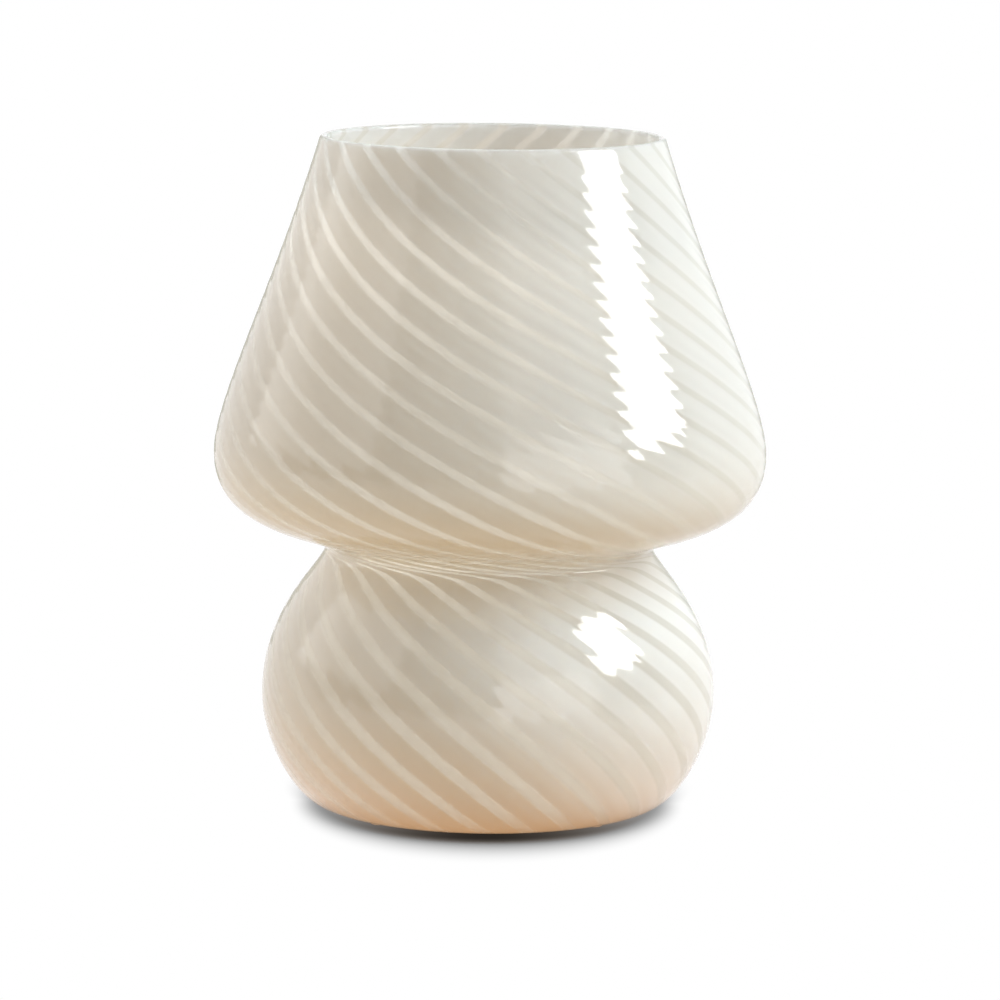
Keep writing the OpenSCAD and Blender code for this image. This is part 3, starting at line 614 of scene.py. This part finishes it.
# Pressed steatite, fired and glazed. The eye gets a hard white with faint grey specks under a smooth shine.
steatiteLook = {"body": "#F0EEE6", "speck": "#D3CEC0", "speckSize": 0.45, "from": 0.60, "to": 0.72,
                "ripple": 2.2, "relief": 0.02, "rough": 0.5, "ior": 1.6, "glaze": 0.06}


def glazedSteatite():
    material, tree = newMaterial("glazedSteatite")
    s = steatiteLook
    place = addNode(tree, "ShaderNodeTexCoord").outputs["Object"]
    specks = addNode(tree, "ShaderNodeTexNoise", {"Scale": 1 / (s["speckSize"] * mm), "Detail": 1.0},
                     {"Vector": place})
    chosen = addNode(tree, "ShaderNodeMapRange", {"From Min": s["from"], "From Max": s["to"]},
                     {"Value": specks.outputs["Fac"]})
    colour = addNode(tree, "ShaderNodeMix", {6: fromHex(s["body"]), 7: fromHex(s["speck"])},
                     {0: chosen.outputs["Result"]}, data_type="RGBA")
    ripple = addNode(tree, "ShaderNodeTexNoise", {"Scale": 1 / (s["ripple"] * mm)}, {"Vector": place})
    relief = addNode(tree, "ShaderNodeBump", {"Distance": s["relief"] * mm},
                     {"Height": ripple.outputs["Fac"]})
    shader = addNode(tree, "ShaderNodeBsdfPrincipled",
                     {"Roughness": s["rough"], "IOR": s["ior"], "Coat Weight": 1.0,
                      "Coat Roughness": s["glaze"]},
                     {"Base Color": colour.outputs[2], "Coat Normal": relief.outputs["Normal"]})
    finishMaterial(tree, shader.outputs["BSDF"])
    return material


# Lead glass fused into the cap, black from manganese. The eye gets a deep gloss with slow flow marks and
# small pits.
blackGlassLook = {"deep": "#0C0C0D", "brown": "#1B1816", "flow": 2.5, "pit": 0.35, "relief": 0.02,
                  "pitRough": 0.30, "rough": 0.10, "ior": 1.6}


def fusedBlackGlass():
    material, tree = newMaterial("fusedBlackGlass")
    s = blackGlassLook
    place = addNode(tree, "ShaderNodeTexCoord").outputs["Object"]
    flow = addNode(tree, "ShaderNodeTexNoise", {"Scale": 1 / (s["flow"] * mm), "Distortion": 1.5},
                   {"Vector": place})
    colour = addNode(tree, "ShaderNodeMix", {6: fromHex(s["deep"]), 7: fromHex(s["brown"])},
                     {0: flow.outputs["Fac"]}, data_type="RGBA")
    pits = addNode(tree, "ShaderNodeTexVoronoi", {"Scale": 1 / (s["pit"] * mm)}, {"Vector": place})
    rough = addNode(tree, "ShaderNodeMapRange", {"To Min": s["pitRough"], "To Max": s["rough"]},
                    {"Value": pits.outputs["Distance"]})
    relief = addNode(tree, "ShaderNodeBump", {"Distance": s["relief"] * mm}, {"Height": flow.outputs["Fac"]})
    shader = addNode(tree, "ShaderNodeBsdfPrincipled", {"IOR": s["ior"]},
                     {"Base Color": colour.outputs[2], "Roughness": rough.outputs["Result"],
                      "Normal": relief.outputs["Normal"]})
    finishMaterial(tree, shader.outputs["BSDF"])
    return material


# Circuit boards. Lacquer lies over glass cloth or aluminium, and the cloth's threads show through it as a
# fine check. The eye gets a satin colour with a woven shimmer.
boardLooks = {
    "greenBoardLacquer": {"pale": "#2F6B45", "deep": "#1F4E31", "thread": 0.5, "cloud": 4.0,
                          "relief": 0.012, "rough": 0.35, "ior": 1.5},
    "whiteBoardLacquer": {"pale": "#F2F3F3", "deep": "#E3E5E6", "thread": 0.25, "cloud": 4.0,
                          "relief": 0.004, "rough": 0.32, "ior": 1.5},
}


def boardLacquer(name):
    material, tree = newMaterial(name)
    s = boardLooks[name]
    place = addNode(tree, "ShaderNodeTexCoord").outputs["Object"]
    threads = addNode(tree, "ShaderNodeTexChecker", {"Scale": 1 / (s["thread"] * mm)}, {"Vector": place})
    cloud = addNode(tree, "ShaderNodeTexNoise", {"Scale": 1 / (s["cloud"] * mm)}, {"Vector": place})
    colour = addNode(tree, "ShaderNodeMix", {6: fromHex(s["pale"]), 7: fromHex(s["deep"])},
                     {0: cloud.outputs["Fac"]}, data_type="RGBA")
    relief = addNode(tree, "ShaderNodeBump", {"Distance": s["relief"] * mm},
                     {"Height": threads.outputs["Fac"]})
    shader = addNode(tree, "ShaderNodeBsdfPrincipled", {"Roughness": s["rough"], "IOR": s["ior"]},
                     {"Base Color": colour.outputs[2], "Normal": relief.outputs["Normal"]})
    finishMaterial(tree, shader.outputs["BSDF"])
    return material


# Yellow phosphor stirred into silicone and poured over the chip. The eye gets a grainy lemon yellow under
# gloss.
phosphorLook = {"pale": "#F0DC86", "deep": "#E2C34E", "grain": 0.12, "relief": 0.01,
                "rough": 0.6, "ior": 1.41, "skinRough": 0.12}


def phosphorInSilicone():
    material, tree = newMaterial("phosphorInSilicone")
    s = phosphorLook
    place = addNode(tree, "ShaderNodeTexCoord").outputs["Object"]
    grain = addNode(tree, "ShaderNodeTexNoise", {"Scale": 1 / (s["grain"] * mm), "Detail": 2.0},
                    {"Vector": place})
    colour = addNode(tree, "ShaderNodeMix", {6: fromHex(s["pale"]), 7: fromHex(s["deep"])},
                     {0: grain.outputs["Fac"]}, data_type="RGBA")
    relief = addNode(tree, "ShaderNodeBump", {"Distance": s["relief"] * mm},
                     {"Height": grain.outputs["Fac"]})
    shader = addNode(tree, "ShaderNodeBsdfPrincipled",
                     {"Roughness": s["rough"], "IOR": s["ior"],
                      "Coat Weight": 1.0, "Coat Roughness": s["skinRough"]},
                     {"Base Color": colour.outputs[2], "Normal": relief.outputs["Normal"]})
    finishMaterial(tree, shader.outputs["BSDF"])
    return material


dressing = [
    (mouldedPiece("softClearPvc"), ["cord_grommet"]),
    (mouldedPiece("castSilicone"), ["bumper_feet", "arm_pad_rear", "arm_pad_left", "arm_pad_right"]),
    (mouldedPiece("mouldedNylon"), ["nipple_bushing"]),
    (mouldedPiece("satinPbt"), ["holder_cap", "holder_skirt"]),
    (mouldedPiece("glossPbt"), ["bulb_collar"]),
    (mouldedPiece("opalPolycarbonate"), ["bulb_globe"]),
    (platedPiece("brightZincPlate"), ["hub_plate", "terminal_screws"]),
    (platedPiece("nickelledSteel"), ["arm_rivets"]),
    (platedPiece("nickelledBrass"), ["screw_shell", "bulb_cap"]),
    (platedPiece("tinSolder"), ["bulb_tip_contact"]),
    (rolledStrip("rolledSpringSteel", 90), ["spring_arm_rear"]),
    (rolledStrip("rolledSpringSteel", 210), ["spring_arm_left"]),
    (rolledStrip("rolledSpringSteel", -30), ["spring_arm_right"]),
    (rolledStrip("rolledSpringSteel", 0), ["toothed_washer"]),
    (rolledStrip("rolledBronze", 0), ["centre_contact", "shell_contact"]),
    (turnedPiece("threadedBrass"), ["nipple"]),
    (turnedPiece("turnedBrass"), ["lock_nut", "terminal_blocks"]),
    (glazedSteatite(), ["contact_carrier"]),
    (fusedBlackGlass(), ["bulb_insulator"]),
    (boardLacquer("greenBoardLacquer"), ["driver_board"]),
    (boardLacquer("whiteBoardLacquer"), ["led_board"]),
    (phosphorInSilicone(), ["led_chips"]),
]
for material, names in dressing:
    for name in names:
        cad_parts[name].material_slots[0].material = material
print("fittings dressed:", sum(len(names) for _, names in dressing), "of", len(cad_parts) - 1)


# Stage: a floor that is white to the eye and warm in the light that it throws back, and a room round it.
stageSet = {
    "floorSize": 14.0,
    "footRadius": 0.0605,
    "shadowSide": 0.0725,     # the soft shadow ends on an ellipse, close at the sides and wider in front
    "shadowSideBack": 0.1,    # and its sides draw apart behind the lamp
    "shadowFront": 0.105,
    "shadowReach": 0.12,      # how far off something still shades the floor
    "shadowSamples": 16,
    "shadowFrom": 0.3,        # open share of the sky where it's darkest, and where it's white
    "shadowTo": 1.0,
    "shadowDark": 0.03,
    "shadowDarkSide": 0.3,    # the panels reach under the sides of the base
    "shadowWarm": "#F0DAC4",  # where it's darkest
    "shadowPlain": 0.3,       # the level from which it's grey
    "bounceNear": "#F4BB86",  # colour of the light that the floor throws back, at the foot and further out
    "bounceFar": "#E8CB9C",
    "bounceReach": 0.16,
    "bounceLevel": 0.79,
    "bounceRight": 0.84,      # what is left of it on the side of the softbox
    "bounceTurn": 0.15,
    "sweepTop": 0.35,         # how high the white backdrop goes before the darker room begins
    "sweepFade": 0.25,
    "sweepLeft": 0.3,         # what is left of it up there
    "sweepFrom": -0.1,        # where it begins and is whole, from the front to the back
    "sweepWhole": 0.4,
    "backFrom": -0.2,
    "backLevel": 1.0,         # light of the room at the back and at the front
    "frontLevel": 0.08,
    "backColour": "#FFFBF4",
    "frontColour": "#FFE6C4",
}


def buildFloor(s):
    half = s["floorSize"] / 2
    mesh = bpy.data.meshes.new("studioFloor")
    corners = [(-half, -half, 0), (half, -half, 0), (half, half, 0), (-half, half, 0)]
    mesh.from_pydata(corners, [], [(0, 1, 2, 3)])
    floor = bpy.data.objects.new("studioFloor", mesh)
    scene.collection.objects.link(floor)
    material, tree = newMaterial("whiteSweep")
    rays = addNode(tree, "ShaderNodeLightPath").outputs
    mirrored = addNode(tree, "ShaderNodeMath", {}, {0: rays["Is Camera Ray"], 1: rays["Is Glossy Ray"]},
                       operation="ADD", use_clamp=True)
    seen = addNode(tree, "ShaderNodeMath", {}, {0: mirrored.outputs[0], 1: rays["Is Transmission Ray"]},
                   operation="ADD", use_clamp=True)
    place = addNode(tree, "ShaderNodeTexCoord").outputs["Object"]
    far = addNode(tree, "ShaderNodeVectorMath", {}, {0: place}, operation="LENGTH")
    parts = addNode(tree, "ShaderNodeSeparateXYZ", {}, {"Vector": place})
    side = addNode(tree, "ShaderNodeMapRange",
                   {"From Max": s["shadowFront"], "To Min": s["shadowSide"], "To Max": s["shadowSideBack"]},
                   {"Value": parts.outputs["Y"]})
    reach = addNode(tree, "ShaderNodeCombineXYZ", {"Y": s["shadowFront"], "Z": 1.0},
                    {"X": side.outputs["Result"]})
    pressed = addNode(tree, "ShaderNodeVectorMath", {}, {0: place, 1: reach.outputs["Vector"]},
                      operation="DIVIDE")
    share = addNode(tree, "ShaderNodeVectorMath", {}, {0: pressed.outputs["Vector"]}, operation="LENGTH")
    edge = addNode(tree, "ShaderNodeMath", {}, {0: far.outputs["Value"], 1: share.outputs["Value"]},
                   operation="DIVIDE")
    # 0 at the foot and 1 on the ellipse
    fade = addNode(tree, "ShaderNodeMapRange", {"From Min": s["footRadius"]},
                   {"Value": far.outputs["Value"], "From Max": edge.outputs[0]},
                   interpolation_type="SMOOTHSTEP")
    skyShare = addNode(tree, "ShaderNodeAmbientOcclusion", {"Distance": s["shadowReach"]},
                       samples=s["shadowSamples"])
    sideways = addNode(tree, "ShaderNodeMath", {}, {0: parts.outputs["X"], 1: far.outputs["Value"]},
                       operation="DIVIDE")
    squared = addNode(tree, "ShaderNodeMath", {}, {0: sideways.outputs[0], 1: sideways.outputs[0]},
                      operation="MULTIPLY")
    darkest = addNode(tree, "ShaderNodeMapRange", {"To Min": s["shadowDark"], "To Max": s["shadowDarkSide"]},
                      {"Value": squared.outputs[0]})
    lit = addNode(tree, "ShaderNodeMapRange", {"From Min": s["shadowFrom"], "From Max": s["shadowTo"]},
                  {"Value": skyShare.outputs["AO"], "To Min": darkest.outputs["Result"]})
    white = addNode(tree, "ShaderNodeMix", {3: 1.0},
                    {0: fade.outputs["Result"], 2: lit.outputs["Result"]}, data_type="FLOAT")
    plain = addNode(tree, "ShaderNodeMapRange", {"From Max": s["shadowPlain"]}, {"Value": white.outputs[0]})
    tint = addNode(tree, "ShaderNodeMix", {6: fromHex(s["shadowWarm"]), 7: (1, 1, 1, 1)},
                   {0: plain.outputs["Result"]}, data_type="RGBA")
    shown = addNode(tree, "ShaderNodeEmission", {}, {"Color": tint.outputs[2], "Strength": white.outputs[0]})
    weaker = addNode(tree, "ShaderNodeMapRange",
                     {"From Min": -s["bounceTurn"], "From Max": s["bounceTurn"],
                      "To Min": s["bounceLevel"], "To Max": s["bounceLevel"] * s["bounceRight"]},
                     {"Value": parts.outputs["X"]})
    outward = addNode(tree, "ShaderNodeMapRange",
                      {"From Min": s["footRadius"], "From Max": s["bounceReach"]},
                      {"Value": far.outputs["Value"]})
    hue = addNode(tree, "ShaderNodeMix", {6: fromHex(s["bounceNear"]), 7: fromHex(s["bounceFar"])},
                  {0: outward.outputs["Result"]}, data_type="RGBA")
    warm = addNode(tree, "ShaderNodeEmission", {},
                   {"Color": hue.outputs[2], "Strength": weaker.outputs["Result"]})
    both = addNode(tree, "ShaderNodeMixShader", {},
                   {0: seen.outputs[0], 1: warm.outputs[0], 2: shown.outputs[0]})
    finishMaterial(tree, both.outputs[0])
    mesh.materials.append(material)


def buildWorld(s):
    world = bpy.data.worlds.new("studioWorld")
    scene.world = world
    world.use_nodes = True
    tree = world.node_tree
    tree.nodes.clear()
    way = addNode(tree, "ShaderNodeTexCoord").outputs["Generated"]
    parts = addNode(tree, "ShaderNodeSeparateXYZ", {}, {"Vector": way})
    level = addNode(tree, "ShaderNodeMapRange",
                    {"From Min": s["backFrom"], "To Min": s["frontLevel"], "To Max": s["backLevel"]},
                    {"Value": parts.outputs["Y"]}, interpolation_type="SMOOTHSTEP")
    rays = addNode(tree, "ShaderNodeLightPath").outputs
    back = addNode(tree, "ShaderNodeMapRange", {"From Min": s["sweepFrom"], "From Max": s["sweepWhole"]},
                   {"Value": parts.outputs["Y"]}, interpolation_type="SMOOTHSTEP")
    sweep = addNode(tree, "ShaderNodeMapRange",
                    {"From Min": s["sweepTop"], "From Max": s["sweepTop"] + s["sweepFade"],
                     "To Min": 1.0, "To Max": s["sweepLeft"]},
                    {"Value": parts.outputs["Z"]}, interpolation_type="SMOOTHSTEP")
    shownBack = addNode(tree, "ShaderNodeMath", {}, {0: back.outputs["Result"], 1: sweep.outputs["Result"]},
                        operation="MULTIPLY")
    glossy = addNode(tree, "ShaderNodeMath", {}, {0: rays["Is Glossy Ray"], 1: shownBack.outputs[0]},
                     operation="MULTIPLY")
    mirrored = addNode(tree, "ShaderNodeMath", {}, {0: rays["Is Camera Ray"], 1: glossy.outputs[0]},
                       operation="ADD", use_clamp=True)
    seen = addNode(tree, "ShaderNodeMath", {}, {0: mirrored.outputs[0], 1: rays["Is Transmission Ray"]},
                   operation="ADD", use_clamp=True)
    tint = addNode(tree, "ShaderNodeMix", {6: fromHex(s["frontColour"]), 7: fromHex(s["backColour"])},
                   {0: back.outputs["Result"]}, data_type="RGBA")
    studio = addNode(tree, "ShaderNodeBackground", {},
                     {"Color": tint.outputs[2], "Strength": level.outputs["Result"]})
    white = addNode(tree, "ShaderNodeBackground", {"Color": (1, 1, 1, 1), "Strength": 1.0})
    both = addNode(tree, "ShaderNodeMixShader", {},
                   {0: seen.outputs[0], 1: studio.outputs[0], 2: white.outputs[0]})
    output = tree.nodes.new("ShaderNodeOutputWorld")
    tree.links.new(both.outputs[0], output.inputs["Surface"])


# Studio panels. Azimuth counts from the front, to the right; radiance is what a mirror would show of the
# panel. The softbox is two lights in one place, so that its shine and the light that it gives can be set
# apart.
lights = {
    "softboxShine": {"azimuth": 75.6, "distance": 1.08, "wide": 0.56, "low": 0.42, "high": 1.2,
                     "radiance": 9.0, "colour": "#FFFFFF", "diffuse": False},
    "softboxLight": {"azimuth": 71, "distance": 1.08, "wide": 0.72, "low": 0.4, "high": 1.8,
                     "radiance": 4.95, "colour": "#ECFAFF", "glossy": False},
    "frontRightPanel": {"azimuth": 31, "distance": 1.7, "wide": 1.65, "low": 0.0, "high": 2.2,
                        "radiance": 1.8, "colour": "#FFFFFF", "diffuse": False},
    "frontRightLight": {"azimuth": 31, "distance": 1.7, "wide": 1.65, "low": 0.9, "high": 2.2,
                        "radiance": 0.12, "colour": "#FFFCF4", "glossy": False},
    "leftPanel": {"azimuth": -84, "distance": 1.5, "wide": 2.0, "low": 0.33, "high": 1.7,
                  "radiance": 0.9, "colour": "#FAFBF8"},
}
# What an overhead panel sends in through the mouth, as discs above the bulb and in the waist that shine down.
mouthLights = {
    "mouthGlow": {"height": 0.2185, "wide": 0.09, "lean": 10, "radiance": 2.3, "colour": "#FFF8EC"},
    "shadeGlow": {"height": 0.15, "wide": 0.11, "lean": 0, "radiance": 0.7, "colour": "#FFF8EC"},
    "waistGlow": {"height": 0.0975, "wide": 0.09, "lean": 18, "radiance": 1.2, "colour": "#FFF8EC"},
}


def newAreaLight(name, shape, colour, wide):
    data = bpy.data.lights.new(name, "AREA")
    data.shape = shape
    data.size = wide
    data.color = fromHex(colour)[:3]
    light = bpy.data.objects.new(name, data)
    scene.collection.objects.link(light)
    return light, data


def aimAlong(light, outward, target, distance):
    light.location = target + outward * distance
    light.rotation_euler = (-outward).to_track_quat("-Z", "Y").to_euler()


def buildPanel(name, s):
    light, data = newAreaLight(name, "RECTANGLE", s["colour"], s["wide"])
    data.size_y = s["high"] - s["low"]
    # Cycles spreads an area light's watts over four times its area
    data.energy = s["radiance"] * 4 * data.size * data.size_y
    a = math.radians(s["azimuth"])
    outward = Vector((math.sin(a), -math.cos(a), 0))
    aimAlong(light, outward, Vector((0, 0, (s["low"] + s["high"]) / 2)), s["distance"])
    light.visible_diffuse = s.get("diffuse", True)
    light.visible_glossy = s.get("glossy", True)


def buildMouthLight(name, s):
    light, data = newAreaLight(name, "DISK", s["colour"], s["wide"])
    data.energy = s["radiance"] * 4 * math.pi * (s["wide"] / 2) ** 2
    light.location = (0, 0, s["height"])
    light.rotation_euler = (0, math.radians(s["lean"]), 0)
    light.visible_camera = False
    light.visible_glossy = False
    return light


# A small narrow lamp high on the right, aimed at the base, lifts the opal between the canes there.
baseSpot = {"azimuth": 56, "rise": 32, "distance": 0.9, "wide": 0.08, "spread": 13, "radiance": 40.0,
            "target": (0.062, -0.042, 0.034), "colour": "#FFFCF4"}


def buildSpot(name, s):
    light, data = newAreaLight(name, "SQUARE", s["colour"], s["wide"])
    data.spread = math.radians(s["spread"])
    # Cycles keeps the watts when the spread narrows, so the middle gets brighter by this much
    half = data.spread / 2
    gathered = math.tan(half) / (math.tan(half) - half)
    data.energy = s["radiance"] * 4 * data.size ** 2 / gathered
    a, e = math.radians(s["azimuth"]), math.radians(s["rise"])
    outward = Vector((math.sin(a) * math.cos(e), -math.cos(a) * math.cos(e), math.sin(e)))
    aimAlong(light, outward, Vector(s["target"]), s["distance"])
    light.visible_camera = False
    light.visible_glossy = False


# The discs in the glass leave the bulb's globe alone, so that it isn't burnt out.
def keepOff(light, piece):
    group = bpy.data.collections.new(light.name + "Skips")
    group.objects.link(piece)
    group.collection_objects[0].light_linking.link_state = "EXCLUDE"
    light.light_linking.receiver_collection = group


# Grey cards beside the lamp, out of the camera's sight. They give the glass its thin darker edge.
edgeCards = {"side": 0.21, "near": 0.4, "far": 1.5, "tall": 0.5, "grey": "#C2C5BC", "level": 1.0}


def buildCard(name, side, s):
    x, near, far, z = side * s["side"], s["near"], s["far"], s["tall"]
    mesh = bpy.data.meshes.new(name)
    mesh.from_pydata([(x, near, 0), (x, far, 0), (x, far, z), (x, near, z)], [], [(0, 1, 2, 3)])
    card = bpy.data.objects.new(name, mesh)
    scene.collection.objects.link(card)
    material, tree = newMaterial(name + "Grey")
    shown = addNode(tree, "ShaderNodeEmission", {"Color": fromHex(s["grey"]), "Strength": s["level"]})
    finishMaterial(tree, shown.outputs[0])
    mesh.materials.append(material)
    card.visible_camera = False
    card.visible_diffuse = False
    card.visible_transmission = False
    card.visible_volume_scatter = False
    card.visible_shadow = False


buildFloor(stageSet)
buildCard("cardLeft", -1, edgeCards)
buildCard("cardRight", 1, edgeCards)
buildWorld(stageSet)
for lightName, lightSet in lights.items():
    buildPanel(lightName, lightSet)
for lightName, lightSet in mouthLights.items():
    keepOff(buildMouthLight(lightName, lightSet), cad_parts["bulb_globe"])
buildSpot("baseSpot", baseSpot)
print("stage and lights set")
